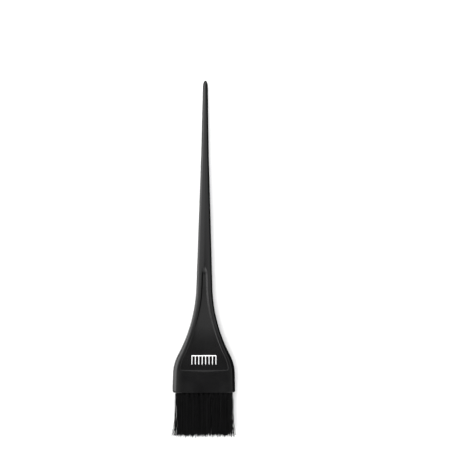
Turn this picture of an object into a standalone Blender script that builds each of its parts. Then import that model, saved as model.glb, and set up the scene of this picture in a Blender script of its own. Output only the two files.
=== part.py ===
"""Tint brush: a one-piece moulded rat-tail handle with two rows of anchored filament tufts.

The brush lies on its back. X runs across the head, +Y points to the tip of the tail and +Z out of the
front face. Positions along the brush, called `along`, are counted from the end face of the head: they grow
towards the tail and are negative in the bristles. Every length is in metres.
"""
import math

import bmesh
import bpy
import numpy as np

# Handle, seen from the front: its side is five corner points, three of them rounded
HANDLE_LENGTH = 0.1898
HEAD_WIDTH = 0.0383
SHOULDER_ALONG = 0.0174
SHOULDER_TAPER = 0.0005
SHOULDER_RADIUS = 0.0250
NECK_ALONG = 0.0423
NECK_WIDTH = 0.0112
NECK_RADIUS = 0.0937
TAIL_ALONG = 0.1456
TAIL_ROOT_WIDTH = 0.00465
TAIL_RADIUS = 0.220
TAIL_WIDTH = 0.0029

# Handle, seen from the side
HEAD_THICKNESS = 0.0075
FLARE_END_ALONG = 0.036
STEM_START_ALONG = 0.074
STEM_THICKNESS = 0.0052
THICKNESS_RADIUS = 0.300
TAIL_THICKNESS = 0.0020

# Handle, edges
HEAD_BEVEL = 0.0020
STEM_BEVEL = 0.0012
BEVEL_SLOPE = 0.75
LARGEST_BEVEL_SHARE = 0.7
SIDE_DRAFT = 0.0001
HEAD_CORNER_RADIUS = 0.0011
TAIL_TIP_LENGTH = 0.0036

# Sunken panel in both faces
BLOCK_LENGTH = 0.0134
PANEL_HEAD_DEPTH = 0.00015
PANEL_STEM_DEPTH = 0.0007
PANEL_DEEPENS_FROM = 0.020
PANEL_DEEPENS_TO = 0.062
PANEL_WALL_SLOPE = 0.75
HEAD_RIM = 0.0037
STEM_RIM = 0.0029
PANEL_END_ALONG = 0.077
PANEL_FADE_LENGTH = 0.005

# Tufts
FRONT_TUFTS = 12
BACK_TUFTS = FRONT_TUFTS - 1
BRISTLE_LENGTH = 0.0262
HOLE_DIAMETER = 0.0023
HOLE_DEPTH = 0.0100
EDGE_TO_FIRST_HOLE = 0.00265
TUFT_CLEARANCE = 0.0001
TIP_GAP = 0.0003
TIP_SPLAY = 0.0002
TIP_FACE_INSET = 0.0006
ROUND_SIDES = 12

# Anchors, the flat wires that the filaments are folded over
ANCHOR_THICKNESS = 0.00035
ANCHOR_HEIGHT = 0.0016
ANCHOR_BITE = 0.00025
ANCHOR_CLEARANCE = 0.0001
ANCHOR_EDGE = 0.00004
ANCHOR_TO_FACE_WALL = 0.0006

# Values that follow from the ones above
TUFT_RADIUS = HOLE_DIAMETER / 2 - TUFT_CLEARANCE
ANCHOR_LENGTH = HOLE_DIAMETER + 2 * ANCHOR_BITE
ANCHOR_ALONG = HOLE_DEPTH - TUFT_CLEARANCE - TUFT_RADIUS - ANCHOR_CLEARANCE - ANCHOR_HEIGHT / 2
ROW_OFFSET = HEAD_THICKNESS / 2 - ANCHOR_TO_FACE_WALL - ANCHOR_CLEARANCE - ANCHOR_LENGTH / 2
ROOT_PITCH = (HEAD_WIDTH - 2 * EDGE_TO_FIRST_HOLE) / (FRONT_TUFTS - 1)
TIP_PITCH = ROOT_PITCH + 2 * TIP_SPLAY / FRONT_TUFTS

BLACK_PLASTIC = ("handle_plastic", (0.018, 0.018, 0.019), 0.38, 0.0)
BLACK_NYLON = ("filament_nylon", (0.010, 0.010, 0.011), 0.45, 0.0)
STEEL_WIRE = ("anchor_wire", (0.62, 0.61, 0.58), 0.32, 1.0)


def clear_scene():
    """Remove every object, so that the script can be run again."""
    for item in list(bpy.data.objects):
        bpy.data.objects.remove(item, do_unlink=True)


def make_material(name, colour, roughness, metallic):
    """Return a new Principled material."""
    material = bpy.data.materials.new(name)
    material.use_nodes = True
    shader = material.node_tree.nodes["Principled BSDF"]
    shader.inputs["Base Color"].default_value = (*colour, 1.0)
    shader.inputs["Roughness"].default_value = roughness
    shader.inputs["Metallic"].default_value = metallic
    return material


def add_object(name, mesh, parent, location=(0.0, 0.0, 0.0), look=None):
    """Place a mesh under the brush's frame as one named piece."""
    piece = bpy.data.objects.new(name, mesh)
    bpy.context.collection.objects.link(piece)
    piece.parent = parent
    piece.location = location
    if look is not None:
        mesh.materials.append(make_material(f"{name}_{look[0]}", *look[1:]))
    return piece


def add_cutter(name, mesh, parent):
    """Place a mesh that only serves to cut other pieces."""
    cutter = add_object(name, mesh, parent)
    cutter.hide_render = True
    cutter.display_type = "WIRE"
    return cutter


def cut(piece, cutter):
    """Take the cutter's volume out of a piece."""
    modifier = piece.modifiers.new(cutter.name, "BOOLEAN")
    modifier.operation = "DIFFERENCE"
    modifier.solver = "EXACT"
    modifier.object = cutter


def shade_round(mesh):
    """Shade a mesh smooth and keep its real edges sharp."""
    mesh.shade_smooth()
    mesh.set_sharp_from_angle(angle=math.radians(35))


def loft_mesh(name, rings):
    """Return one closed mesh through rings of equally many points, with both ends capped."""
    bm = bmesh.new()
    loops = [[bm.verts.new(point) for point in ring] for ring in rings]
    for low, high in zip(loops, loops[1:]):
        for index in range(len(low)):
            after = (index + 1) % len(low)
            bm.faces.new((low[index], low[after], high[after], high[index]))
    bm.faces.new(list(reversed(loops[0])))
    bm.faces.new(loops[-1])
    bmesh.ops.recalc_face_normals(bm, faces=bm.faces)
    mesh = bpy.data.meshes.new(name)
    bm.to_mesh(mesh)
    bm.free()
    return mesh


def smooth_step(value, start, end):
    """Rise smoothly from 0 at start to 1 at end."""
    share = min(max((value - start) / (end - start), 0.0), 1.0)
    return share * share * (3.0 - 2.0 * share)


def clamp(value, low, high):
    """Keep a value between two limits."""
    return min(max(value, low), high)


def round_corner(before, corner, after, radius, steps=24):
    """Return the points of the arc that rounds one corner of a line."""
    back = (before - corner) / np.linalg.norm(before - corner)
    ahead = (after - corner) / np.linalg.norm(after - corner)
    half_angle = math.acos(float(np.clip(back @ ahead, -1.0, 1.0))) / 2
    middle = (back + ahead) / np.linalg.norm(back + ahead)
    centre = corner + middle * radius / math.sin(half_angle)
    first = corner + back * radius / math.tan(half_angle) - centre
    last = corner + ahead * radius / math.tan(half_angle) - centre
    start = math.atan2(first[1], first[0])
    sweep = (math.atan2(last[1], last[0]) - start + math.pi) % (2 * math.pi) - math.pi
    angles = start + sweep * np.linspace(0.0, 1.0, steps + 1)
    return [centre + radius * np.array((math.cos(angle), math.sin(angle))) for angle in angles]


def rounded_profile(corners, radii):
    """Return a line through corner points whose inner corners are arcs, as an array of points."""
    corners = [np.array(corner) for corner in corners]
    points = [corners[0]]
    for before, corner, after, radius in zip(corners, corners[1:], corners[2:], radii):
        points.extend(round_corner(before, corner, after, radius))
    points.append(corners[-1])
    return np.array(points)


def width_profile():
    """Half the handle's width along it."""
    corners = [
        (0.0, HEAD_WIDTH / 2),
        (SHOULDER_ALONG, HEAD_WIDTH / 2 - SHOULDER_TAPER),
        (NECK_ALONG, NECK_WIDTH / 2),
        (TAIL_ALONG, TAIL_ROOT_WIDTH / 2),
        (HANDLE_LENGTH, TAIL_WIDTH / 2),
    ]
    return rounded_profile(corners, (SHOULDER_RADIUS, NECK_RADIUS, TAIL_RADIUS))


def thickness_profile():
    """Half the handle's thickness along it."""
    corners = [
        (0.0, HEAD_THICKNESS / 2),
        (FLARE_END_ALONG, HEAD_THICKNESS / 2),
        (STEM_START_ALONG, STEM_THICKNESS / 2),
        (HANDLE_LENGTH, TAIL_THICKNESS / 2),
    ]
    return rounded_profile(corners, (THICKNESS_RADIUS, THICKNESS_RADIUS))


def handle_stations():
    """Positions of the handle's cross-sections, closer together where its shape changes."""
    quarter = np.linspace(0.0, math.pi / 2, 4)
    tail_start = HANDLE_LENGTH - TAIL_TIP_LENGTH
    return np.concatenate([
        HEAD_CORNER_RADIUS * (1.0 - np.cos(quarter)),
        np.linspace(HEAD_CORNER_RADIUS, BLOCK_LENGTH, 4)[1:],
        np.linspace(BLOCK_LENGTH + panel_wall_run(BLOCK_LENGTH), PANEL_END_ALONG, 30),
        np.linspace(PANEL_END_ALONG, tail_start, 10)[1:],
        tail_start + TAIL_TIP_LENGTH * np.sin(np.radians((25, 45, 62, 76))),
    ])


def end_rounding(along):
    """How far the rounded corner of the head draws in at a position, from 0 to 1."""
    reach = clamp(1.0 - along / HEAD_CORNER_RADIUS, 0.0, 1.0)
    return 1.0 - math.sqrt(1.0 - reach * reach)


def tail_rounding(along):
    """The share of the tail's section that its rounded tip leaves at a position."""
    reach = clamp((along - HANDLE_LENGTH + TAIL_TIP_LENGTH) / TAIL_TIP_LENGTH, 0.0, 1.0)
    return math.sqrt(1.0 - reach * reach)


def full_panel_depth(along):
    """Depth of the sunken panel away from its ends: shallow in the head and deeper on the stem."""
    on_stem = smooth_step(along, PANEL_DEEPENS_FROM, PANEL_DEEPENS_TO)
    return PANEL_HEAD_DEPTH + (PANEL_STEM_DEPTH - PANEL_HEAD_DEPTH) * on_stem


def panel_wall_run(along):
    """How far the panel's sloping wall reaches over the face."""
    return full_panel_depth(along) / PANEL_WALL_SLOPE


def panel_depth(along):
    """Depth of the sunken panel: none in the block, a short wall, then fading out on the stem."""
    wall = clamp((along - BLOCK_LENGTH) / panel_wall_run(BLOCK_LENGTH), 0.0, 1.0)
    fade = 1.0 - smooth_step(along, PANEL_END_ALONG - PANEL_FADE_LENGTH, PANEL_END_ALONG)
    return full_panel_depth(along) * wall * fade


def quarter_section(along, half_width, half_thickness):
    """Points of one quarter of a cross-section, from the side's parting line to beside the middle."""
    on_stem = smooth_step(along, SHOULDER_ALONG, NECK_ALONG)
    bevel = HEAD_BEVEL + (STEM_BEVEL - HEAD_BEVEL) * on_stem
    bevel = min(bevel, LARGEST_BEVEL_SHARE * half_width, half_thickness / BEVEL_SLOPE * 0.8)
    rim = HEAD_RIM + (STEM_RIM - HEAD_RIM) * on_stem
    face_half = half_width - bevel
    panel_half = clamp(half_width - rim, 0.4 * face_half, 0.9 * face_half)
    floor_half = max(panel_half - panel_wall_run(along), 0.3 * panel_half)
    floor_height = half_thickness - panel_depth(along)
    draft = min(SIDE_DRAFT, bevel / 4)
    return [
        (half_width, 0.0),
        (half_width - draft, half_thickness - bevel * BEVEL_SLOPE),
        (face_half, half_thickness),
        (panel_half, half_thickness),
        (floor_half, floor_height),
    ]


def handle_ring(along, half_width, half_thickness):
    """One closed cross-section of the handle, mirrored from its quarter."""
    quarter = quarter_section(along, half_width, half_thickness)
    middle = (0.0, quarter[-1][1])
    top = quarter + [middle] + [(-x, z) for x, z in reversed(quarter)]
    bottom = [(x, -z) for x, z in reversed(top[1:-1])]
    return [(x, along, z) for x, z in top + bottom]


def handle_mesh():
    """The handle's outer shape, without its holes."""
    widths = width_profile()
    thicknesses = thickness_profile()
    rings = []
    for along in handle_stations():
        half_width = np.interp(along, widths[:, 0], widths[:, 1])
        half_thickness = np.interp(along, thicknesses[:, 0], thicknesses[:, 1])
        half_width = (half_width - HEAD_CORNER_RADIUS * end_rounding(along)) * tail_rounding(along)
        half_thickness *= tail_rounding(along)
        rings.append(handle_ring(float(along), float(half_width), float(half_thickness)))
    return loft_mesh("handle", rings)


def tuft_places():
    """Name, root position and tip position of every tuft, front row first."""
    tip_offset = (HEAD_THICKNESS / 2 - TIP_FACE_INSET + TIP_GAP / 2) / 2
    places = []
    for row, count, side in (("front", FRONT_TUFTS, 1), ("back", BACK_TUFTS, -1)):
        for index in range(count):
            step = index - (count - 1) / 2
            root = (step * ROOT_PITCH, side * ROW_OFFSET)
            tip = (step * TIP_PITCH, side * tip_offset)
            places.append((f"{row}_{index + 1:02d}", root, tip))
    return places


def round_ring(centre, along, half_width, half_depth, squareness):
    """A ring around the brush's length: a circle at squareness 0, nearly a rectangle at 1."""
    power = 1.0 / (1.0 + squareness)
    ring = []
    for index in range(ROUND_SIDES):
        angle = 2 * math.pi * (index + 0.5) / ROUND_SIDES
        x = math.copysign(abs(math.cos(angle)) ** power, math.cos(angle))
        z = math.copysign(abs(math.sin(angle)) ** power, math.sin(angle))
        ring.append((centre[0] + half_width * x, along, centre[1] + half_depth * z))
    return ring


def tuft_mesh(name, root, tip):
    """A tuft from the fold at the bottom of its hole to its tip, around its own root point."""
    bottom = HOLE_DEPTH - TUFT_CLEARANCE
    rings = []
    for angle in np.radians((20, 50, 90)):
        radius = TUFT_RADIUS * math.sin(angle)
        rings.append(round_ring((0.0, 0.0), bottom - TUFT_RADIUS * (1 - math.cos(angle)), radius, radius, 0.0))
    tip_half_width = (TIP_PITCH - TIP_GAP) / 2
    tip_half_depth = (HEAD_THICKNESS / 2 - TIP_FACE_INSET - TIP_GAP / 2) / 2
    for share in (0.0, 0.4, 1.0):
        centre = ((tip[0] - root[0]) * share, (tip[1] - root[1]) * share)
        half_width = TUFT_RADIUS + (tip_half_width - TUFT_RADIUS) * share
        half_depth = TUFT_RADIUS + (tip_half_depth - TUFT_RADIUS) * share
        rings.append(round_ring(centre, -BRISTLE_LENGTH * share, half_width, half_depth, share))
    return loft_mesh(name, rings)


def box_corners(centre, size):
    """The eight corners of a box, ordered for add_box."""
    signs = [(x, y, z) for x in (-1, 1) for y in (-1, 1) for z in (-1, 1)]
    return [tuple(c + sign * s / 2 for c, sign, s in zip(centre, corner, size)) for corner in signs]


def add_box(bm, centre, size):
    """Add one box to a mesh being built."""
    verts = [bm.verts.new(corner) for corner in box_corners(centre, size)]
    for face in ((0, 1, 3, 2), (4, 6, 7, 5), (0, 4, 5, 1), (2, 3, 7, 6), (0, 2, 6, 4), (1, 5, 7, 3)):
        bm.faces.new([verts[index] for index in face])


def boxes_mesh(name, centres, size):
    """Equal boxes at several places, in one mesh."""
    bm = bmesh.new()
    for centre in centres:
        add_box(bm, centre, size)
    bmesh.ops.recalc_face_normals(bm, faces=bm.faces)
    mesh = bpy.data.meshes.new(name)
    bm.to_mesh(mesh)
    bm.free()
    return mesh


def hole_cutter_mesh(places):
    """One cylinder per blind hole, starting outside the end face of the head."""
    bm = bmesh.new()
    for _, root, _ in places:
        loops = []
        for along in (-HOLE_DIAMETER / 2, HOLE_DEPTH):
            ring = round_ring(root, along, HOLE_DIAMETER / 2, HOLE_DIAMETER / 2, 0.0)
            loops.append([bm.verts.new(point) for point in ring])
        bm.faces.new(list(reversed(loops[0])))
        bm.faces.new(loops[1])
        for index in range(ROUND_SIDES):
            after = (index + 1) % ROUND_SIDES
            bm.faces.new((loops[0][index], loops[0][after], loops[1][after], loops[1][index]))
    bmesh.ops.recalc_face_normals(bm, faces=bm.faces)
    mesh = bpy.data.meshes.new("tuft_holes_cutter")
    bm.to_mesh(mesh)
    bm.free()
    return mesh


def anchor_size(clearance):
    """Width, height and length of an anchor, larger by a clearance on every side."""
    return tuple(side + 2 * clearance for side in (ANCHOR_THICKNESS, ANCHOR_HEIGHT, ANCHOR_LENGTH))


def build_handle(frame, places, slots):
    """The handle with its blind holes and the bites of the anchors in their walls."""
    handle = add_object("handle", handle_mesh(), frame, look=BLACK_PLASTIC)
    holes = add_cutter("tuft_holes_cutter", hole_cutter_mesh(places), frame)
    cut(handle, holes)
    cut(handle, slots)
    shade_round(handle.data)


def build_tufts(frame, places, slots):
    """The tufts, each folded around its anchor."""
    for name, root, tip in places:
        mesh = tuft_mesh(f"tuft_{name}", root, tip)
        tuft = add_object(f"tuft_{name}", mesh, frame, (root[0], 0.0, root[1]), BLACK_NYLON)
        cut(tuft, slots)
        shade_round(mesh)


def build_anchors(frame, places):
    """The flat wires, one in the bottom of each hole."""
    mesh = boxes_mesh("anchor", [(0.0, 0.0, 0.0)], anchor_size(0.0))
    mesh.materials.append(make_material(*STEEL_WIRE))
    for name, root, _ in places:
        anchor = add_object(f"anchor_{name}", mesh, frame, (root[0], ANCHOR_ALONG, root[1]))
        bevel = anchor.modifiers.new("edges", "BEVEL")
        bevel.width = ANCHOR_EDGE
        bevel.segments = 1


def build_brush():
    """The whole brush around an empty in the middle of the head's end face."""
    frame = bpy.data.objects.new("brush_frame", None)
    bpy.context.collection.objects.link(frame)
    frame.location = (0.0, (BRISTLE_LENGTH - HANDLE_LENGTH) / 2, HEAD_THICKNESS / 2)
    places = tuft_places()
    slot_centres = [(root[0], ANCHOR_ALONG, root[1]) for _, root, _ in places]
    slots_mesh = boxes_mesh("anchor_slots_cutter", slot_centres, anchor_size(ANCHOR_CLEARANCE))
    slots = add_cutter("anchor_slots_cutter", slots_mesh, frame)
    build_handle(frame, places, slots)
    build_tufts(frame, places, slots)
    build_anchors(frame, places)


clear_scene()
build_brush()
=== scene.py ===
"""The looks of the tint brush: moulded handle, nylon filaments, anchors, floor, light and camera."""

import math
import random

import bmesh
import bpy
import numpy as np
from mathutils import Matrix, Vector


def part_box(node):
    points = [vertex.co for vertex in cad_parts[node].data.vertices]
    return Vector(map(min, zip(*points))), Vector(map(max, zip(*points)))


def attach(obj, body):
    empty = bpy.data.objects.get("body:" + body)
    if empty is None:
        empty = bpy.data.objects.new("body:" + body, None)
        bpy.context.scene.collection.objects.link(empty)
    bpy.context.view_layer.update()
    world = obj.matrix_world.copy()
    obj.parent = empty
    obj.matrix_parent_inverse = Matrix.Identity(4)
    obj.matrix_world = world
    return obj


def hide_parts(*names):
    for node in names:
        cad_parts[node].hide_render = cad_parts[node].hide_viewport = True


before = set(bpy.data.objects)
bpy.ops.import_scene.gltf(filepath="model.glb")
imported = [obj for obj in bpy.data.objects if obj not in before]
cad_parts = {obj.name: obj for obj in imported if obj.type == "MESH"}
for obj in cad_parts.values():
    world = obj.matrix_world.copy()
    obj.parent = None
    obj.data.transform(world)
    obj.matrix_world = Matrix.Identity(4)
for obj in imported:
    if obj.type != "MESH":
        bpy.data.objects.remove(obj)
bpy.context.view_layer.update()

ROOT = "root"
MM = 0.001

# Handle outline and section, in millimetres, as the CAD handle has them
HEAD_WIDTH = 38.3
SHOULDER = (17.4, 37.3)
SHOULDER_RADIUS = 25.0
NECK = (42.3, 11.2)
NECK_RADIUS = 93.7
TAIL_ROOT = (145.6, 4.65)
TAIL_RADIUS = 220.0
TAIL_WIDTH = 2.9
FLARE_END = 36.0
STEM_START = 74.0
STEM_THICKNESS = 5.2
THICKNESS_RADIUS = 300.0
TAIL_THICKNESS = 2.0
HEAD_BEVEL = 2.0
STEM_BEVEL = 1.2
BEVEL_SLOPE = 0.75
LARGEST_BEVEL_SHARE = 0.7
SIDE_DRAFT = 0.1
HEAD_CORNER_RADIUS = 1.1
TAIL_TIP_LENGTH = 3.6
BLOCK_LENGTH = 13.4
PANEL_HEAD_DEPTH = 0.15
PANEL_STEM_DEPTH = 0.7
PANEL_DEEPENS = (20.0, 62.0)
PANEL_WALL_SLOPE = 0.75
HEAD_RIM = 3.7
STEM_RIM = 2.9
PANEL_END = 77.0
PANEL_FADE = 5.0

# Finer shape that only the looks have, in millimetres and degrees
EDGE_SOFTNESS = 0.22
PANEL_EDGE_SOFTNESS = 0.12
CORNER_STEPS = 5
CROWN = 0.12
FLASH_HEIGHT = 0.03
FLASH_HALF_WIDTH = 0.12
PANEL_CORNER_RADIUS = 1.6
HOLE_SIDES = 28
HOLE_CHAMFER = 0.14
HOLE_CLEARANCE = 0.1
HOLE_END_LENGTH = 0.25
HOLE_END_SHARE = 0.75
SHARP_ANGLE = 38
SAME_LEVEL = 0.01

# Limits that keep a cross-section sound where the handle is slim, as shares of the size beside it
DEEPEST_BEVEL_SHARE = 0.8
LARGEST_CROWN_SHARE = 0.06
LEAST_PANEL_SHARE = 0.4
LARGEST_PANEL_SHARE = 0.9
LEAST_FLOOR_SHARE = 0.3
PANEL_TIP_SHARE = 0.15
LARGEST_CORNER_SHARE = 0.45
FLASH_CREST_SHARES = (0.7, 0.4)
FLOOR_SHARES = (0.75, 0.5, 0.25)

# How many cross-sections each stretch of the handle has, and their angles around its tip
HEAD_CORNER_STATIONS = 8
BLOCK_STATIONS = 12
PANEL_WALL_STATIONS = 9
PANEL_CORNER_STATIONS = 6
PANEL_STATIONS = 90
TAIL_STATIONS = 48
TAIL_TIP_ANGLES = (12, 24, 36, 47, 58, 68, 76, 82, 86)

# Printed mark, in millimetres
MARK_CENTRE = (-0.2, 20.0)
MARK_WIDTH = 15.0
MARK_HEIGHT = 5.6
MARK_BACK = 0.6
MARK_TEETH = 8
MARK_TOOTH = 0.45
MARK_TOOTH_POINTS = 9
MARK_THICKNESS = 0.03

# Filaments, in millimetres and degrees
FILAMENT_DIAMETER = 0.17
FILAMENT_SPACING = 0.18
FILAMENT_SIDES = 5
FILAMENT_END_SHARE = 0.75
ANCHOR_GAP = 0.04
FOLD_ANGLES = (150, 110, 70, 30)
MOUTH_DEPTH = 1.2
MOUTH_CLOSING = 0.22
MOUTH_HALF_GAP = 0.05
MOUTH_SPREAD = 1.02
LEG_SHARES = (0.04, 0.10, 0.18, 0.30, 0.48, 0.68, 0.85, 1.0)
WAVE = 0.06
WAVE_THROUGH_SHARE = 0.5
WAVE_TURNS = (0.5, 1.2)
SPREAD_POWER = 14.0
TUFT_LEAN = 0.22
TIP_WIDTH_SHARE = 0.95
TIP_SCATTER = 0.75
TIP_REACH = 1.3
TIP_RAGGEDNESS = 0.45

# Neighbouring filaments end close together: two waves across the brush set how short they are
TIP_CLUMP = 1.0
BROAD_CLUMP = 2.9
BROAD_CLUMP_DRIFT = 1.6
BROAD_CLUMP_DRIFT_WAVE = 1.3
FINE_CLUMP = 6.1
FINE_CLUMP_SLANT = 0.4

# Stray filaments: their share inside and at the sides of the brush, and how far they bend
STRAY_SHARE = 0.015
STRAY_SIDE_SHARE = 0.42
STRAY_SIDE_ZONE = 3.5
STRAY_SIDE_POWER = 1.3
STRAY_BEND_ACROSS = 0.8
STRAY_BEND_THROUGH = 0.6
SIDE_LIMIT = 20.1
TOP_LIMIT = 7.6


def box_mm(node):
    """A CAD node's lowest and highest corners, in millimetres."""
    low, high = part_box(node)
    return np.array(low) / MM, np.array(high) / MM


handle_low, handle_high = box_mm("handle")
HEAD_FACE_Y = handle_low[1]
HANDLE_LENGTH = handle_high[1] - handle_low[1]
MIDDLE_Z = (handle_low[2] + handle_high[2]) / 2
HEAD_THICKNESS = handle_high[2] - handle_low[2]
TUFTS = sorted(name[len("tuft_"):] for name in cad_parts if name.startswith("tuft_"))


# ---------------------------------------------------------------- mesh helpers

def smooth_step(value, start, end):
    """Rise smoothly from 0 at start to 1 at end."""
    share = min(max((value - start) / (end - start), 0.0), 1.0)
    return share * share * (3.0 - 2.0 * share)


def clamp(value, low, high):
    """Keep a value between two limits."""
    return min(max(value, low), high)


def new_object(name, mesh):
    """Link a mesh into the scene as one object."""
    piece = bpy.data.objects.new(name, mesh)
    bpy.context.collection.objects.link(piece)
    return piece


def mesh_from(name, points_mm, faces):
    """Return a mesh from points in millimetres."""
    mesh = bpy.data.meshes.new(name)
    mesh.from_pydata([tuple(point) for point in np.asarray(points_mm) * MM], [], faces)
    mesh.update()
    return mesh


def loft(name, rings):
    """One closed skin through rings of equally many points, with both ends capped."""
    count = len(rings[0])
    points = [point for ring in rings for point in ring]
    faces = []
    for level in range(len(rings) - 1):
        low, high = level * count, (level + 1) * count
        for index in range(count):
            after = (index + 1) % count
            faces.append((low + index, low + after, high + after, high + index))
    faces.append(tuple(reversed(range(count))))
    faces.append(tuple(range((len(rings) - 1) * count, len(rings) * count)))
    mesh = mesh_from(name, points, faces)
    outward(mesh)
    return mesh


def outward(mesh):
    """Turn every face of a closed mesh outwards."""
    bm = bmesh.new()
    bm.from_mesh(mesh)
    bmesh.ops.recalc_face_normals(bm, faces=bm.faces)
    bm.to_mesh(mesh)
    bm.free()


def join_meshes(name, meshes):
    """Several meshes as one mesh of separate shells."""
    bm = bmesh.new()
    for mesh in meshes:
        bm.from_mesh(mesh)
        bpy.data.meshes.remove(mesh)
    joined = bpy.data.meshes.new(name)
    bm.to_mesh(joined)
    bm.free()
    return joined


def shade_round(mesh, degrees):
    """Shade a mesh smooth and keep its real edges sharp."""
    mesh.shade_smooth()
    mesh.set_sharp_from_angle(angle=math.radians(degrees))


def cut_away(piece, cutter_mesh):
    """Take a cutter's volume out of a piece for good."""
    cutter = new_object("cutter", cutter_mesh)
    modifier = piece.modifiers.new("cut", "BOOLEAN")
    modifier.operation = "DIFFERENCE"
    modifier.solver = "EXACT"
    modifier.object = cutter
    evaluated = piece.evaluated_get(bpy.context.evaluated_depsgraph_get())
    result = bpy.data.meshes.new_from_object(evaluated)
    piece.modifiers.clear()
    piece.data = result
    bpy.data.objects.remove(cutter)


# ---------------------------------------------------------------- handle shape

def round_corner(before, corner, after, radius, steps=48):
    """The points of the arc that rounds one corner of a line."""
    back = (before - corner) / np.linalg.norm(before - corner)
    ahead = (after - corner) / np.linalg.norm(after - corner)
    half_angle = math.acos(float(np.clip(back @ ahead, -1.0, 1.0))) / 2
    middle = (back + ahead) / np.linalg.norm(back + ahead)
    centre = corner + middle * radius / math.sin(half_angle)
    first = corner + back * radius / math.tan(half_angle) - centre
    last = corner + ahead * radius / math.tan(half_angle) - centre
    start = math.atan2(first[1], first[0])
    sweep = (math.atan2(last[1], last[0]) - start + math.pi) % (2 * math.pi) - math.pi
    angles = start + sweep * np.linspace(0.0, 1.0, steps + 1)
    return [centre + radius * np.array((math.cos(angle), math.sin(angle))) for angle in angles]


def rounded_profile(corners, radii):
    """A line through corner points whose inner corners are arcs, as an array of points."""
    corners = [np.array(corner) for corner in corners]
    points = [corners[0]]
    for before, corner, after, radius in zip(corners, corners[1:], corners[2:], radii):
        points.extend(round_corner(before, corner, after, radius))
    points.append(corners[-1])
    return np.array(points)


def handle_profiles():
    """Half the handle's width and half its thickness along it."""
    widths = rounded_profile([
        (0.0, HEAD_WIDTH / 2),
        (SHOULDER[0], SHOULDER[1] / 2),
        (NECK[0], NECK[1] / 2),
        (TAIL_ROOT[0], TAIL_ROOT[1] / 2),
        (HANDLE_LENGTH, TAIL_WIDTH / 2),
    ], (SHOULDER_RADIUS, NECK_RADIUS, TAIL_RADIUS))
    thicknesses = rounded_profile([
        (0.0, HEAD_THICKNESS / 2),
        (FLARE_END, HEAD_THICKNESS / 2),
        (STEM_START, STEM_THICKNESS / 2),
        (HANDLE_LENGTH, TAIL_THICKNESS / 2),
    ], (THICKNESS_RADIUS, THICKNESS_RADIUS))
    return widths, thicknesses


def handle_stations():
    """Positions of the fine cross-sections along the handle."""
    quarter = np.linspace(0.0, math.pi / 2, HEAD_CORNER_STATIONS)
    wall_end = BLOCK_LENGTH + panel_wall_run(BLOCK_LENGTH)
    corner_end = wall_end + PANEL_CORNER_RADIUS
    tail_start = HANDLE_LENGTH - TAIL_TIP_LENGTH
    return np.concatenate([
        HEAD_CORNER_RADIUS * (1.0 - np.cos(quarter)),
        np.linspace(HEAD_CORNER_RADIUS, BLOCK_LENGTH, BLOCK_STATIONS)[1:-1],
        np.linspace(BLOCK_LENGTH, wall_end, PANEL_WALL_STATIONS),
        np.linspace(wall_end, corner_end, PANEL_CORNER_STATIONS)[1:],
        np.linspace(corner_end, PANEL_END, PANEL_STATIONS)[1:],
        np.linspace(PANEL_END, tail_start, TAIL_STATIONS)[1:],
        tail_start + TAIL_TIP_LENGTH * np.sin(np.radians(TAIL_TIP_ANGLES)),
    ])


def end_rounding(along):
    """How far the rounded corner of the head draws in at a position, from 0 to 1."""
    reach = clamp(1.0 - along / HEAD_CORNER_RADIUS, 0.0, 1.0)
    return 1.0 - math.sqrt(1.0 - reach * reach)


def tail_rounding(along):
    """The share of the tail's section that its rounded tip leaves at a position."""
    reach = clamp((along - HANDLE_LENGTH + TAIL_TIP_LENGTH) / TAIL_TIP_LENGTH, 0.0, 1.0)
    return math.sqrt(1.0 - reach * reach)


def full_panel_depth(along):
    """Depth of the sunken panel away from its ends: shallow in the head and deeper on the stem."""
    return PANEL_HEAD_DEPTH + (PANEL_STEM_DEPTH - PANEL_HEAD_DEPTH) * smooth_step(along, *PANEL_DEEPENS)


def panel_wall_run(along):
    """How far the panel's sloping wall reaches over the face."""
    return full_panel_depth(along) / PANEL_WALL_SLOPE


def panel_depth(along):
    """Depth of the sunken panel: none in the block, a soft wall, then fading out on the stem."""
    wall = smooth_step(along, BLOCK_LENGTH, BLOCK_LENGTH + panel_wall_run(BLOCK_LENGTH))
    fade = 1.0 - smooth_step(along, PANEL_END - PANEL_FADE, PANEL_END)
    return full_panel_depth(along) * wall * fade


def panel_corner(along):
    """How far the panel's rounded lower corners draw its sides in."""
    wall_middle = BLOCK_LENGTH + panel_wall_run(BLOCK_LENGTH) / 2
    reach = clamp(1.0 - (along - wall_middle) / PANEL_CORNER_RADIUS, 0.0, 1.0)
    return PANEL_CORNER_RADIUS * (1.0 - math.sqrt(1.0 - reach * reach))


def panel_point(along):
    """The share of the panel's width that its pointed upper end leaves."""
    reach = clamp((along - PANEL_END + PANEL_FADE) / PANEL_FADE, 0.0, 1.0)
    return max(1.0 - reach ** 2, PANEL_TIP_SHARE)


def soft_corner(before, corner, after, reach):
    """A rounded corner as a short quadratic curve, which never folds when the corner is flat."""
    before, corner, after = np.array(before), np.array(corner), np.array(after)
    back, ahead = before - corner, after - corner
    start = corner + back * min(reach / max(np.linalg.norm(back), 1e-9), LARGEST_CORNER_SHARE)
    end = corner + ahead * min(reach / max(np.linalg.norm(ahead), 1e-9), LARGEST_CORNER_SHARE)
    points = []
    for share in np.linspace(0.0, 1.0, CORNER_STEPS):
        points.append(start * (1 - share) ** 2 + 2 * corner * share * (1 - share) + end * share ** 2)
    return points


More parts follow.
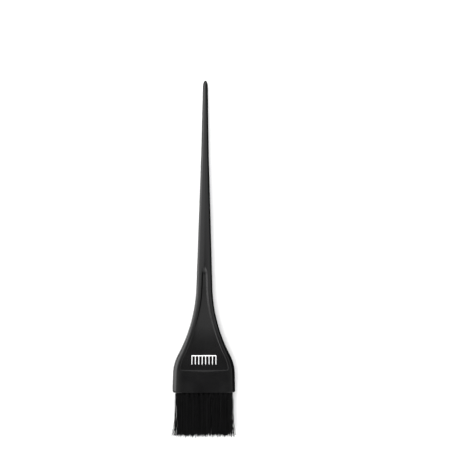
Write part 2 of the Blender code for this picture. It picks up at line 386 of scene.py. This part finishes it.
def section_widths(along, half_width, half_thickness):
    """The bevel and the half widths of the face, the panel and the panel's floor in one cross-section."""
    on_stem = smooth_step(along, SHOULDER[0], NECK[0])
    bevel = HEAD_BEVEL + (STEM_BEVEL - HEAD_BEVEL) * on_stem
    highest_bevel = half_thickness / BEVEL_SLOPE * DEEPEST_BEVEL_SHARE
    bevel = min(bevel, LARGEST_BEVEL_SHARE * half_width, highest_bevel)
    rim = HEAD_RIM + (STEM_RIM - HEAD_RIM) * on_stem
    face_half = half_width - bevel
    panel_half = half_width - rim - panel_corner(along)
    panel_half = clamp(panel_half, LEAST_PANEL_SHARE * face_half, LARGEST_PANEL_SHARE * face_half)
    panel_half *= panel_point(along)
    floor_half = max(panel_half - panel_wall_run(along), LEAST_FLOOR_SHARE * panel_half)
    return bevel, face_half, panel_half, floor_half


def parting_line(half_width, wall_height):
    """Points of the thin line that the two halves of the mould leave on the handle's side."""
    flash = min(FLASH_HEIGHT, half_width / 20)
    out_share, up_share = FLASH_CREST_SHARES
    return [
        (half_width + flash, 0.0),
        (half_width + flash * out_share, FLASH_HALF_WIDTH * up_share),
        (half_width, min(FLASH_HALF_WIDTH, wall_height / 3)),
    ]


def quarter_section(along, half_width, half_thickness):
    """One quarter of a cross-section, from the parting line to beside the middle, and its middle point."""
    bevel, face_half, panel_half, floor_half = section_widths(along, half_width, half_thickness)
    floor_height = half_thickness - panel_depth(along)
    draft = min(SIDE_DRAFT, bevel / 4)
    crown = min(CROWN, LARGEST_CROWN_SHARE * face_half)
    side = (half_width, 0.0)
    shoulder = (half_width - draft, half_thickness - bevel * BEVEL_SLOPE)
    face_edge = (face_half, half_thickness - crown)
    rim_edge = (panel_half, half_thickness - crown * (panel_half / face_half) ** 2)
    floor_edge = (floor_half, min(floor_height, rim_edge[1]))
    middle = (0.0, floor_height)
    points = parting_line(half_width, shoulder[1])
    points += soft_corner(side, shoulder, face_edge, EDGE_SOFTNESS)
    points += soft_corner(shoulder, face_edge, rim_edge, EDGE_SOFTNESS)
    points += soft_corner(face_edge, rim_edge, floor_edge, PANEL_EDGE_SOFTNESS)
    points += soft_corner(rim_edge, floor_edge, middle, PANEL_EDGE_SOFTNESS)
    last = points[-1]
    for share in FLOOR_SHARES:
        points.append((last[0] * share, last[1] + (middle[1] - last[1]) * (1 - share)))
    return points, middle


def handle_ring(along, half_width, half_thickness):
    """One closed cross-section of the handle, mirrored from its quarter."""
    quarter, middle = quarter_section(along, half_width, half_thickness)
    top = quarter + [middle] + [(-x, z) for x, z in reversed(quarter)]
    bottom = [(x, -z) for x, z in reversed(top[1:-1])]
    return [(x, HEAD_FACE_Y + along, MIDDLE_Z + z) for x, z in top + bottom]


def handle_skin():
    """The handle's outer skin, without its holes."""
    widths, thicknesses = handle_profiles()
    rings = []
    for along in handle_stations():
        half_width = np.interp(along, widths[:, 0], widths[:, 1])
        half_thickness = np.interp(along, thicknesses[:, 0], thicknesses[:, 1])
        half_width = (half_width - HEAD_CORNER_RADIUS * end_rounding(along)) * tail_rounding(along)
        half_thickness *= tail_rounding(along)
        rings.append(handle_ring(along, half_width, half_thickness))
    return loft("handle_skin", rings)


def turned(centre, levels):
    """A closed round body around the brush's length, from (y, radius) levels."""
    rings = []
    for y, radius in levels:
        ring = []
        for index in range(HOLE_SIDES):
            angle = 2 * math.pi * index / HOLE_SIDES
            ring.append((centre[0] + radius * math.cos(angle), y, centre[1] + radius * math.sin(angle)))
        rings.append(ring)
    return loft("turned", rings)


def hole_cutter():
    """The blind holes with a small chamfer at their mouths."""
    bodies = []
    for name in TUFTS:
        low, high = box_mm("anchor_" + name)
        centre = ((low[0] + high[0]) / 2, (low[2] + high[2]) / 2)
        bottom = box_mm("tuft_" + name)[1][1] + HOLE_CLEARANCE
        radius = tuft_radius(name) + HOLE_CLEARANCE
        bodies.append(turned(centre, [
            (HEAD_FACE_Y - HOLE_CHAMFER, radius + 2 * HOLE_CHAMFER),
            (HEAD_FACE_Y + HOLE_CHAMFER, radius),
            (bottom - HOLE_END_LENGTH, radius),
            (bottom, radius * HOLE_END_SHARE),
        ]))
    return join_meshes("hole_cutter", bodies)


def bite_cutter():
    """The bites of the anchors in the walls of the holes."""
    bodies = []
    for name in TUFTS:
        low, high = box_mm("anchor_" + name)
        low, high = low - HOLE_CLEARANCE, high + HOLE_CLEARANCE
        x, y, z = zip(low, high)
        ring = [(x[0], z[0]), (x[1], z[0]), (x[1], z[1]), (x[0], z[1])]
        bodies.append(loft("bite", [[(px, level, pz) for px, pz in ring] for level in y]))
    return join_meshes("bite_cutter", bodies)


def make_handle():
    """The fine handle, which stands for the CAD handle."""
    handle = new_object("handle_moulding", handle_skin())
    cut_away(handle, hole_cutter())
    cut_away(handle, bite_cutter())
    shade_round(handle.data, SHARP_ANGLE)
    handle.data.materials.clear()
    handle.data.materials.append(plastic_material())
    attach(handle, ROOT)
    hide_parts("handle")


# ---------------------------------------------------------------- printed mark

def comb_outline():
    """The outline of a plain comb shape, anticlockwise from above, around its own centre."""
    half_width = MARK_WIDTH / 2
    back, tip = MARK_HEIGHT / 2, -MARK_HEIGHT / 2
    root = back - MARK_BACK
    pitch = (MARK_WIDTH - MARK_TOOTH) / (MARK_TEETH - 1)
    points = [(half_width, back), (-half_width, back)]
    for index in range(MARK_TEETH):
        middle = -half_width + MARK_TOOTH / 2 + index * pitch
        radius = MARK_TOOTH / 2
        points.append((middle - radius, root))
        for angle in np.radians(np.linspace(180.0, 360.0, MARK_TOOTH_POINTS)):
            points.append((middle + radius * math.cos(angle), tip + radius + radius * math.sin(angle)))
        points.append((middle + radius, root))
    return points


def make_mark():
    """A plain comb shape, printed in white on the floor of the front panel."""
    outline = comb_outline()
    surface = MIDDLE_Z + HEAD_THICKNESS / 2 - PANEL_HEAD_DEPTH
    rings = []
    for level in (surface - MARK_THICKNESS / 4, surface + MARK_THICKNESS):
        rings.append([(MARK_CENTRE[0] + x, HEAD_FACE_Y + MARK_CENTRE[1] + y, level) for x, y in outline])
    mark = new_object("printed_mark", loft("printed_mark", rings))
    mark.data.materials.append(ink_material())
    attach(mark, ROOT)


# ---------------------------------------------------------------- filaments

def tuft_points(name):
    """The points of a CAD tuft, in millimetres."""
    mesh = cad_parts["tuft_" + name].data
    points = np.empty(len(mesh.vertices) * 3)
    mesh.vertices.foreach_get("co", points)
    return points.reshape(-1, 3) / MM


def tuft_radius(name):
    """Radius of a tuft in its hole."""
    points = tuft_points(name)
    root = points[points[:, 1] > HEAD_FACE_Y - SAME_LEVEL]
    return (root[:, 2].max() - root[:, 2].min()) / 2


def tip_cell(name):
    """Centre and half sizes, across and through, of the space that a tuft fills at its tip."""
    points = tuft_points(name)
    tip = points[points[:, 1] < points[:, 1].min() + SAME_LEVEL]
    low, high = tip.min(axis=0), tip.max(axis=0)
    return (low[[0, 2]] + high[[0, 2]]) / 2, (high[[0, 2]] - low[[0, 2]]) / 2


def packed_places(radius, inner):
    """Places for filaments in one half of a round hole, beside the anchor, in close packing."""
    places = []
    column = 0
    x = inner
    while x < radius:
        z = -radius + (column % 2) * FILAMENT_SPACING / 2
        while z < radius:
            if math.hypot(x, z) <= radius:
                places.append((x, z))
            z += FILAMENT_SPACING
        x += FILAMENT_SPACING * math.sqrt(3) / 2
        column += 1
    return places


def to_cell(x, z, radius, half):
    """Spread a place in the round hole over the rectangular space at the tip."""
    distance = math.hypot(x, z)
    if distance < 1e-6:
        return 0.0, 0.0
    stretch = distance / max(abs(x), abs(z))
    return x / radius * half[0] * stretch, z / radius * half[1] * stretch


def leg_path(chance, mouth, tip, tip_y, bend):
    """Points of one free leg from the mouth of the hole to its tip."""
    phase = chance.uniform(0, 2 * math.pi)
    turns = chance.uniform(*WAVE_TURNS)
    points = []
    for share in LEG_SHARES:
        ease = 1.0 - (1.0 - share) ** SPREAD_POWER
        wave = WAVE * share * math.sin(phase + turns * 2 * math.pi * share)
        x = mouth[0] + (tip[0] - mouth[0]) * ease + wave + bend[0] * share ** 3
        z = mouth[1] + (tip[1] - mouth[1]) * ease + wave * WAVE_THROUGH_SHARE + bend[1] * share ** 3
        y = HEAD_FACE_Y + (tip_y - HEAD_FACE_Y) * share
        points.append((clamp(x, -SIDE_LIMIT, SIDE_LIMIT), y, clamp(z, FILAMENT_DIAMETER, TOP_LIMIT)))
    return points


def brush_side(x):
    """Tell the left side of the brush, -1, and its right side, 1, from the rest, 0."""
    if x < handle_low[0] + STRAY_SIDE_ZONE:
        return -1.0
    if x > handle_high[0] - STRAY_SIDE_ZONE:
        return 1.0
    return 0.0


def stray_bend(chance, root_x, tip_x):
    """A bend for the few filaments that stand out, most of them at the sides of the brush."""
    side = brush_side(root_x)
    if chance.random() > (STRAY_SIDE_SHARE if side else STRAY_SHARE):
        return 0.0, 0.0
    if side:
        across = side * (SIDE_LIMIT - abs(tip_x)) * chance.random() ** STRAY_SIDE_POWER
    else:
        across = chance.uniform(-STRAY_BEND_ACROSS, STRAY_BEND_ACROSS)
    return across, chance.uniform(-STRAY_BEND_THROUGH, STRAY_BEND_THROUGH)


def clump_at(x, z):
    """How much earlier the filaments end around a place at the tips, from -2 to 2."""
    broad = math.sin(x * BROAD_CLUMP + BROAD_CLUMP_DRIFT * math.sin(x * BROAD_CLUMP_DRIFT_WAVE))
    return broad + math.sin(x * FINE_CLUMP + z * FINE_CLUMP_SLANT)


def filament_leg(chance, place, side, hole, cell, levels):
    """One leg of a filament, from beside the anchor to its free tip."""
    centre, radius = hole
    cell_centre, cell_half = cell
    anchor_low, tip_y = levels
    x, z = place
    at_mouth = (max(x - MOUTH_CLOSING, MOUTH_HALF_GAP) * side * MOUTH_SPREAD, z)
    mouth = (centre[0] + at_mouth[0], centre[1] + at_mouth[1])
    spread = to_cell(at_mouth[0], at_mouth[1], radius, cell_half)
    tip_x = cell_centre[0] * TIP_WIDTH_SHARE + spread[0] + chance.gauss(0, TIP_SCATTER)
    tip_z = cell_centre[1] + spread[1] + chance.gauss(0, TIP_SCATTER)
    bend = stray_bend(chance, mouth[0], tip_x)
    longest = tip_y - TIP_REACH
    end = longest + abs(chance.gauss(0, TIP_RAGGEDNESS)) + TIP_CLUMP * (1.0 + clump_at(tip_x, tip_z) / 2)
    beside_anchor = (centre[0] + side * x, anchor_low, centre[1] + z)
    inside_mouth = (mouth[0], HEAD_FACE_Y + MOUTH_DEPTH, mouth[1])
    return [beside_anchor, inside_mouth] + leg_path(chance, mouth, (tip_x, tip_z), end, bend)


def filament_path(chance, place, hole, cell, levels):
    """One filament: up from its tip, around the anchor and back to its other tip."""
    anchor_low, anchor_high, tip_y = levels
    first = filament_leg(chance, place, -1, hole, cell, (anchor_low, tip_y))
    second = filament_leg(chance, place, 1, hole, cell, (anchor_low, tip_y))
    centre = hole[0]
    x, z = place
    fold = [(centre[0] - x, anchor_high, centre[1] + z)]
    for angle in np.radians(FOLD_ANGLES):
        fold.append((centre[0] + x * math.cos(angle), anchor_high + x * math.sin(angle), centre[1] + z))
    fold.append((centre[0] + x, anchor_high, centre[1] + z))
    return list(reversed(first)) + fold + second


def tube(path, radius):
    """Points of a thin round tube, tapered a little at both ends, and the number of its levels."""
    path = np.array(path)
    tangents = np.gradient(path, axis=0)
    tangents /= np.linalg.norm(tangents, axis=1)[:, None]
    up = np.array((0.0, 0.0, 1.0))
    normals = up - tangents * (tangents @ up)[:, None]
    normals /= np.linalg.norm(normals, axis=1)[:, None]
    sides = np.cross(tangents, normals)
    angles = 2 * math.pi * np.arange(FILAMENT_SIDES) / FILAMENT_SIDES
    radii = np.full(len(path), radius)
    radii[0] = radii[-1] = radius * FILAMENT_END_SHARE
    circle = (np.cos(angles)[None, :, None] * normals[:, None, :]
              + np.sin(angles)[None, :, None] * sides[:, None, :])
    points = (path[:, None, :] + circle * radii[:, None, None]).reshape(-1, 3)
    return points, len(path)


def tube_faces(start, levels):
    """Faces of one tube whose points begin at an index."""
    count = FILAMENT_SIDES
    faces = []
    for level in range(levels - 1):
        low, high = start + level * count, start + (level + 1) * count
        for index in range(count):
            after = (index + 1) % count
            faces.append((low + index, low + after, high + after, high + index))
    faces.append(tuple(start + index for index in reversed(range(count))))
    faces.append(tuple(start + (levels - 1) * count + index for index in range(count)))
    return faces


def make_tuft(name, material):
    """One bundle of filaments, folded around its anchor, which stands for the CAD tuft."""
    chance = random.Random("tuft " + name)
    cell_centre, cell_half = tip_cell(name)
    cell = (cell_centre + np.array((chance.uniform(-TUFT_LEAN, TUFT_LEAN), 0.0)), cell_half)
    low, high = box_mm("anchor_" + name)
    centre = ((low[0] + high[0]) / 2, (low[2] + high[2]) / 2)
    radius = tuft_radius(name) - FILAMENT_DIAMETER / 2
    inner = (high[0] - low[0]) / 2 + FILAMENT_DIAMETER / 2 + ANCHOR_GAP
    levels = (low[1], high[1], box_mm("tuft_" + name)[0][1])
    points, faces = [], []
    for place in packed_places(radius, inner):
        path = filament_path(chance, place, (centre, radius), cell, levels)
        tube_points, level_count = tube(path, FILAMENT_DIAMETER / 2)
        faces += tube_faces(len(points), level_count)
        points += list(tube_points)
    mesh = mesh_from("filaments_" + name, points, faces)
    outward(mesh)
    mesh.shade_smooth()
    mesh.materials.append(material)
    tuft = new_object("filaments_" + name, mesh)
    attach(tuft, ROOT)
    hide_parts("tuft_" + name)


# ---------------------------------------------------------------- materials

def new_material(name, colour, roughness, metallic=0.0):
    """A Principled material and its node tree, ready for procedural detail."""
    material = bpy.data.materials.new(name)
    material.use_nodes = True
    tree = material.node_tree
    shader = tree.nodes["Principled BSDF"]
    shader.inputs["Base Color"].default_value = (*colour, 1.0)
    shader.inputs["Roughness"].default_value = roughness
    shader.inputs["Metallic"].default_value = metallic
    return material, tree, shader


def add_noise(tree, scale, detail=3.0, stretch=(1.0, 1.0, 1.0)):
    """A noise texture in object space; scale counts features per metre."""
    place = tree.nodes.new("ShaderNodeTexCoord")
    mapping = tree.nodes.new("ShaderNodeMapping")
    mapping.inputs["Scale"].default_value = stretch
    noise = tree.nodes.new("ShaderNodeTexNoise")
    noise.inputs["Scale"].default_value = scale
    noise.inputs["Detail"].default_value = detail
    tree.links.new(place.outputs["Object"], mapping.inputs["Vector"])
    tree.links.new(mapping.outputs["Vector"], noise.inputs["Vector"])
    return noise.outputs["Fac"]


def add_range(tree, source, low, high):
    """Map a 0.3 to 0.7 signal to a range of numbers."""
    mapped = tree.nodes.new("ShaderNodeMapRange")
    mapped.inputs["From Min"].default_value = 0.3
    mapped.inputs["From Max"].default_value = 0.7
    mapped.inputs["To Min"].default_value = low
    mapped.inputs["To Max"].default_value = high
    tree.links.new(source, mapped.inputs["Value"])
    return mapped.outputs["Result"]


def add_ramp(tree, source, stops):
    """Map a signal to colours given as (position, colour) stops."""
    ramp = tree.nodes.new("ShaderNodeValToRGB")
    elements = ramp.color_ramp.elements
    while len(elements) < len(stops):
        elements.new(0.5)
    for element, (position, colour) in zip(elements, stops):
        element.position = position
        element.color = (*colour, 1.0)
    tree.links.new(source, ramp.inputs["Fac"])
    return ramp.outputs["Color"]


def add_bump(tree, shader, source, strength, distance):
    """Drive the shader's normal by a height signal, on top of what already does."""
    bump = tree.nodes.new("ShaderNodeBump")
    bump.inputs["Strength"].default_value = strength
    bump.inputs["Distance"].default_value = distance
    tree.links.new(source, bump.inputs["Height"])
    earlier = shader.inputs["Normal"].links
    if earlier:
        tree.links.new(earlier[0].from_socket, bump.inputs["Normal"])
    tree.links.new(bump.outputs["Normal"], shader.inputs["Normal"])


def plastic_material():
    """Black moulded polypropylene: fine mould grain, flow marks and faint handling smudges."""
    material, tree, shader = new_material("black_polypropylene", (0.003, 0.003, 0.0032), roughness=0.16)
    flow = add_noise(tree, 160.0, detail=4.0, stretch=(1.0, 0.12, 1.0))
    colour = add_ramp(tree, flow, [(0.3, (0.0022, 0.0022, 0.0023)), (0.7, (0.0034, 0.0034, 0.0036))])
    tree.links.new(colour, shader.inputs["Base Color"])
    smudge = add_noise(tree, 70.0, detail=5.0)
    tree.links.new(add_range(tree, smudge, low=0.135, high=0.19), shader.inputs["Roughness"])
    shader.inputs["Specular IOR Level"].default_value = 0.35
    grain = add_noise(tree, 2600.0, detail=2.0)
    add_bump(tree, shader, grain, strength=0.04, distance=0.05 * MM)
    add_bump(tree, shader, flow, strength=0.06, distance=0.2 * MM)
    return material


def ink_material():
    """White pad-printed ink, a little uneven in cover and gloss."""
    material, tree, shader = new_material("white_ink", (0.80, 0.80, 0.80), roughness=0.45)
    cover = add_noise(tree, 1800.0, detail=4.0)
    colour = add_ramp(tree, cover, [(0.30, (0.60, 0.60, 0.61)), (0.55, (0.86, 0.86, 0.86))])
    tree.links.new(colour, shader.inputs["Base Color"])
    tree.links.new(add_range(tree, cover, low=0.50, high=0.38), shader.inputs["Roughness"])
    return material


def nylon_material():
    """Black nylon filament: each one differs a little, with faint drawing lines."""
    material, tree, shader = new_material("black_nylon", (0.0035, 0.0035, 0.0038), roughness=0.5)
    island = tree.nodes.new("ShaderNodeNewGeometry").outputs["Random Per Island"]
    colour = add_ramp(tree, island, [(0.0, (0.0028, 0.0028, 0.0030)), (1.0, (0.0040, 0.0040, 0.0042))])
    tree.links.new(colour, shader.inputs["Base Color"])
    drawn = add_noise(tree, 900.0, detail=2.0, stretch=(1.0, 0.08, 1.0))
    tree.links.new(add_range(tree, drawn, low=0.45, high=0.60), shader.inputs["Roughness"])
    shader.inputs["Specular IOR Level"].default_value = 0.08
    return material


def wire_material():
    """Flat steel wire with drawing lines along its length."""
    colour = (0.62, 0.61, 0.58)
    material, tree, shader = new_material("anchor_steel", colour, roughness=0.32, metallic=1.0)
    lines = add_noise(tree, 9000.0, detail=3.0, stretch=(1.0, 1.0, 0.06))
    colour = add_ramp(tree, lines, [(0.3, (0.50, 0.49, 0.47)), (0.7, (0.68, 0.67, 0.64))])
    tree.links.new(colour, shader.inputs["Base Color"])
    tree.links.new(add_range(tree, lines, low=0.24, high=0.42), shader.inputs["Roughness"])
    return material


def floor_material():
    """A plain pale surface."""
    material, tree, shader = new_material("pale_floor", (0.93, 0.93, 0.93), roughness=0.85)
    shade = add_noise(tree, 6.0, detail=2.0)
    colour = add_ramp(tree, shade, [(0.3, (0.925, 0.925, 0.925)), (0.7, (0.935, 0.935, 0.935))])
    tree.links.new(colour, shader.inputs["Base Color"])
    shader.inputs["Specular IOR Level"].default_value = 0.2
    return material


# ---------------------------------------------------------------- stage

# Camera: the width that it sees, its lens and sensor in millimetres, and its angles in degrees
FIELD = 274.3 * MM
LENS = 100.0
SENSOR = 36.0
NEAR_LIMIT = 0.01
VIEW_CENTRE = Vector((12.40, 20.0, 3.75)) * MM
VIEW_TILT = 3.5
VIEW_ROLL = 0.30

# Light tent: its strength, the direction of its opening, and each band's edges and share of the light
TENT_LIGHT = 3.3
TENT_OPENING = (0.058, -0.132, 1.0)
TENT_OPENING_EDGE = (0.9805, 0.9972)
TENT_OPENING_LIGHT = 0.05
TENT_HORIZON_EDGE = (0.35, 0.75)
TENT_HORIZON_LIGHT = 0.05
TENT_ROOF_EDGE = (0.80, 0.94)
TENT_ROOF_LIGHT = 0.575
TENT_SIDE_EDGE = (-0.3, 0.6)
TENT_LEFT_LIGHT = 1.1
TENT_RIGHT_LIGHT = 0.45
TENT_FAR_RIGHT_EDGE = (0.75, 0.95)
TENT_FAR_RIGHT_LIGHT = 0.25

# Softbox on the left, and the floor, in metres and watts
SOFTBOX_PLACE = Vector((-0.60, 0.17, 0.22))
SOFTBOX_TARGET = Vector((0.0, 0.17, 0.0))
SOFTBOX_WIDTH = 0.80
SOFTBOX_HEIGHT = 0.14
SOFTBOX_POWER = 1.65
FLOOR_SIZE = 4.0
FLOOR_GAP = 0.00005


def make_camera():
    """The camera above the brush, a little to its left."""
    data = bpy.data.cameras.new("camera")
    data.lens = LENS
    data.sensor_width = SENSOR
    data.clip_start = NEAR_LIMIT
    camera = bpy.data.objects.new("camera", data)
    bpy.context.collection.objects.link(camera)
    tilt = Matrix.Rotation(math.radians(-VIEW_TILT), 4, "Y")
    roll = Matrix.Rotation(math.radians(VIEW_ROLL), 4, "Z")
    away = Matrix.Translation((0, 0, FIELD * LENS / SENSOR))
    camera.matrix_world = Matrix.Translation(VIEW_CENTRE) @ tilt @ roll @ away
    bpy.context.scene.camera = camera


def make_softbox():
    """A soft rectangular light on the left that points at the brush and isn't seen itself."""
    data = bpy.data.lights.new("left_softbox", "AREA")
    data.shape = "RECTANGLE"
    data.size = SOFTBOX_WIDTH
    data.size_y = SOFTBOX_HEIGHT
    data.energy = SOFTBOX_POWER
    light = bpy.data.objects.new("left_softbox", data)
    bpy.context.collection.objects.link(light)
    light.location = SOFTBOX_PLACE
    light.rotation_euler = (SOFTBOX_TARGET - SOFTBOX_PLACE).to_track_quat("-Z", "Y").to_euler()
    light.visible_camera = False


def add_math(tree, operation, first, second):
    """One math node; each operand is a socket or a number."""
    node = tree.nodes.new("ShaderNodeMath")
    node.operation = operation
    for socket, value in zip(node.inputs, (first, second)):
        if isinstance(value, (int, float)):
            socket.default_value = value
        else:
            tree.links.new(value, socket)
    return node.outputs["Value"]


def add_step(tree, source, start, end, low, high):
    """A smooth change from low to high while the source goes from start to end."""
    step = tree.nodes.new("ShaderNodeMapRange")
    step.interpolation_type = "SMOOTHSTEP"
    for name, value in (("From Min", start), ("From Max", end), ("To Min", low), ("To Max", high)):
        step.inputs[name].default_value = value
    tree.links.new(source, step.inputs["Value"])
    return step.outputs["Result"]


def make_world():
    """A light tent: dark low down, bright above, dimmer in the roof and on the right, and open overhead."""
    world = bpy.data.worlds.new("studio")
    bpy.context.scene.world = world
    world.use_nodes = True
    tree = world.node_tree
    background = tree.nodes["Background"]
    place = tree.nodes.new("ShaderNodeTexCoord")
    split = tree.nodes.new("ShaderNodeSeparateXYZ")
    tree.links.new(place.outputs["Generated"], split.inputs["Vector"])
    opening = tree.nodes.new("ShaderNodeVectorMath")
    opening.operation = "DOT_PRODUCT"
    opening.inputs[1].default_value = Vector(TENT_OPENING).normalized()
    tree.links.new(place.outputs["Generated"], opening.inputs[0])
    hole = add_step(tree, opening.outputs["Value"], *TENT_OPENING_EDGE, 1.0, TENT_OPENING_LIGHT)
    up, right = split.outputs["Z"], split.outputs["X"]
    horizon = add_step(tree, up, *TENT_HORIZON_EDGE, TENT_HORIZON_LIGHT, 1.0)
    roof = add_step(tree, up, *TENT_ROOF_EDGE, 1.0, TENT_ROOF_LIGHT)
    side = add_step(tree, right, *TENT_SIDE_EDGE, TENT_LEFT_LIGHT, TENT_RIGHT_LIGHT)
    far_right = add_step(tree, right, *TENT_FAR_RIGHT_EDGE, 1.0, TENT_FAR_RIGHT_LIGHT)
    level = hole
    for factor in (horizon, roof, side, far_right):
        level = add_math(tree, "MULTIPLY", level, factor)
    background.inputs["Color"].default_value = (1.0, 1.0, 1.0, 1.0)
    tree.links.new(add_math(tree, "MULTIPLY", level, TENT_LIGHT), background.inputs["Strength"])


def make_stage():
    """Floor, light and surround."""
    bpy.ops.mesh.primitive_plane_add(size=FLOOR_SIZE, location=(0.0, 0.0, -FLOOR_GAP))
    floor = bpy.context.object
    floor.name = "floor"
    floor.data.materials.append(floor_material())
    make_softbox()
    make_world()
    bpy.context.scene.view_settings.view_transform = "Standard"


def finish_anchors(material):
    """Give the CAD anchors their wire."""
    for name in TUFTS:
        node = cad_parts["anchor_" + name]
        node.data.materials.clear()
        node.data.materials.append(material)


make_camera()
make_stage()
make_handle()
make_mark()
nylon = nylon_material()
for tuft_name in TUFTS:
    make_tuft(tuft_name, nylon)
finish_anchors(wire_material())
